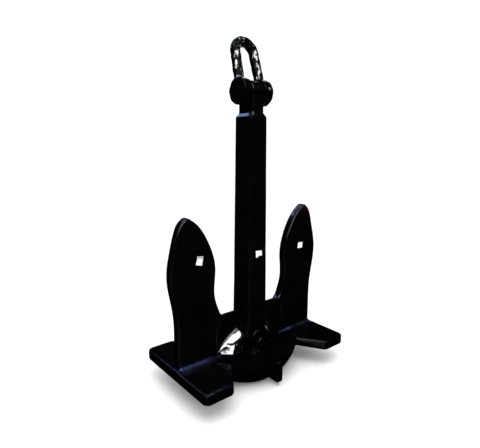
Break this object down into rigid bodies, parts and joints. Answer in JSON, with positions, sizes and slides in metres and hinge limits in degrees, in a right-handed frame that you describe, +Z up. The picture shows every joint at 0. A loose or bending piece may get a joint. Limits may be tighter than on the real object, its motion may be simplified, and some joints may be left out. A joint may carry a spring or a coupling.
{
  "type": "fluke anchor",
  "caption": "Stockless ship's anchor standing on its crown: leaf flukes and flat palms on a barrel crown, shank tilting on a trunnion axle, bow shackle on top.",
  "frame": {"origin": "middle of the crown's flat base, straight under the shank", "axes": "+Z up along the shank, +X along the trunnion axis, -Y the front"},
  "size_m": [1.076, 0.604, 1.9033],
  "materials": {
    "crown_paint": "gloss",
    "fluke_paint": "gloss",
    "weld_paint": "gloss",
    "palm_paint": "gloss",
    "shank_paint": "gloss",
    "shackle_paint": "gloss",
    "bare_steel": "satin",
    "lead": "satin"
  },
  "bodies": {
    "head": {"crown_casting": "crown_paint", "fluke_left": "fluke_paint", "fluke_right": "fluke_paint", "fluke_weld_left": "weld_paint", "fluke_weld_right": "weld_paint", "palm_left": "palm_paint", "palm_right": "palm_paint", "axle_keeper_left": "bare_steel", "axle_keeper_right": "bare_steel", "keeper_pin_left": "bare_steel", "keeper_pin_right": "bare_steel", "crown_rib_front": "crown_paint", "crown_rib_back": "crown_paint"},
    "shank": {"shank": "shank_paint", "trunnion_axle": "bare_steel", "axle_dowel": "shank_paint"},
    "shackle": {"shackle_bow": "shackle_paint", "shackle_pin": "shackle_paint", "shackle_lock_pin": "bare_steel", "lead_plug": "lead"}
  },
  "joints": [
    {"name": "shank_tilt", "type": "hinge", "parent": "head", "child": "shank", "pos_m": [0, 0, 0.207], "axis": [1, 0, 0], "range_deg": [-42, 42]},
    {"name": "shackle_swing", "type": "hinge", "parent": "shank", "child": "shackle", "pos_m": [0, 0, 1.608], "axis": [1, 0, 0], "range_deg": [-119.5, 150.5]}
  ]
}
